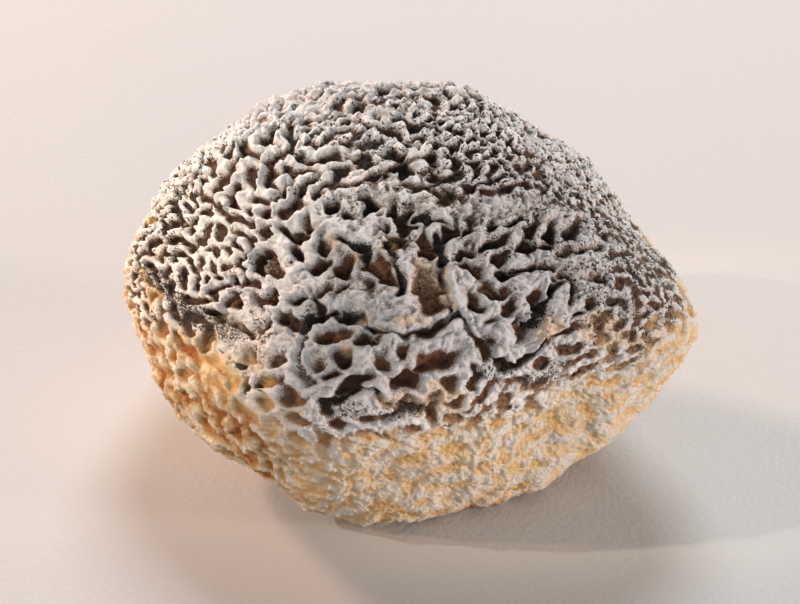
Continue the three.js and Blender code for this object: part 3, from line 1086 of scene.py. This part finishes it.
# %% Ash and finish
CRUMBS = ((0.010, 0.009, 0.008), (0.16, 0.13, 0.09))
BROKEN_UP = 1.6  # how strongly the grain breaks up the ash
SOOT_SHOWS = (0.30, 0.55)
BROWN_CRUMBS = (0.50, 0.72)  # levels of the grain
RIND_ROUGHNESS = 0.82
FINEST_SIZE = 0.5  # mm
FINEST_HEIGHT = 0.8

soot = tree.step(tree.vary(tree.attribute("crease"), grain, BROKEN_UP), *SOOT_SHOWS)
surface = tree.mix(soot, surface, tree.mix(tree.step(grain, *BROWN_CRUMBS), *CRUMBS))
tree.put(tree.shader.inputs["Base Color"], surface)
tree.put(tree.shader.inputs["Roughness"], RIND_ROUGHNESS)
tree.bump(tree.noise(place, FINEST_SIZE, 5, 0.75), FINEST_HEIGHT, 1.0)
for piece in pieces:
    piece.data.materials.append(tree.material)
    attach(piece, "root")
    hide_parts("cheese")
print("nodes in the rind's material:", len(tree.nodes))

# %% [markdown]
# ## The floor
#
# The cheese stands on plain pale paper, one large flat sheet with a faint grain. It isn't part of the object,
# so it stays a separate object named floor, not tied to the cheese.

# %% Floor
FLOOR_REACH = 1.5  # metres from the cheese to each edge
PAPER = (0.53, 0.53, 0.53)

floor_shape = bmesh.new()
bmesh.ops.create_grid(floor_shape, x_segments=1, y_segments=1, size=FLOOR_REACH)
floor_mesh = bpy.data.meshes.new("floor")
floor_shape.to_mesh(floor_mesh)
floor_shape.free()
floor = bpy.data.objects.new("floor", floor_mesh)
bpy.context.collection.objects.link(floor)
paper = Tree("floor paper")
paper.put(paper.shader.inputs["Base Color"], PAPER)
paper.put(paper.shader.inputs["Roughness"], 0.9)
paper.bump(paper.noise(paper.place(), 1.1, 4, 0.6), 0.25, 0.5)
floor_mesh.materials.append(paper.material)

# %% [markdown]
# ## The lights
#
# A low warm lamp behind on the left draws the ridges out and throws the long shadow to the right. A large
# soft box above the back lights the crown and the floor. A reflector on the right and a card in front lift
# the sides that face away, and two small mirrors on the left throw narrow warm beams on the near flank. The
# room gives a dim and slightly warm light from everywhere.

# %% Lights
MIRROR_DISTANCE = 1.0  # metres
MIRROR_RADIUS = 0.03
ROOM_LIGHT = (1.0, 0.93, 0.88)
ROOM_STRENGTH = 0.41


def add_light(name, kind, azimuth, elevation, distance, target, power, colour):
    """A lamp in the given direction from a target, in mm on the cheese, that points back at it."""
    data = bpy.data.lights.new(name, kind)
    data.energy = power
    data.color = colour
    light = bpy.data.objects.new(name, data)
    place = Vector(facing(azimuth, elevation) * distance)
    light.location = place + Vector(np.array(target) * MM)
    light.rotation_euler = place.to_track_quat("Z", "Y").to_euler()
    bpy.context.collection.objects.link(light)
    return data


def area_light(name, azimuth, elevation, distance, size, power, colour):
    data = add_light(name, "AREA", azimuth, elevation, distance, LUMP_MIDDLE, power, colour)
    data.shape = "DISK"
    data.size = size


def mirror(name, azimuth, elevation, target, spread_angle, power, colour):
    data = add_light(name, "SPOT", azimuth, elevation, MIRROR_DISTANCE, target, power, colour)
    data.spot_size = math.radians(spread_angle)
    data.spot_blend = 1.0
    data.shadow_soft_size = MIRROR_RADIUS


area_light("sun lamp", -131, 21, 1.3, 0.2, 15.5, (1.0, 0.60, 0.46))
area_light("soft box", 176, 46, 2.0, 0.84, 32, (0.95, 1.0, 1.02))
area_light("reflector", 78, 4, 1.5, 0.25, 24, (1.0, 0.82, 0.72))
area_light("front card", 8, 7, 1.2, 0.25, 2.9, (1.0, 0.96, 0.95))
mirror("low mirror", -84, 24, (-40, 0, 26), 5.0, 42, (1.0, 0.62, 0.38))
mirror("high mirror", -84, 34, (-30, -3, 39), 4.0, 76, (1.0, 0.90, 0.78))
world = bpy.data.worlds.new("room")
world.use_nodes = True
room = world.node_tree.nodes["Background"]
room.inputs["Color"].default_value = (*ROOM_LIGHT, 1)
room.inputs["Strength"].default_value = ROOM_STRENGTH
bpy.context.scene.world = world
bpy.context.scene.view_settings.view_transform = "Standard"
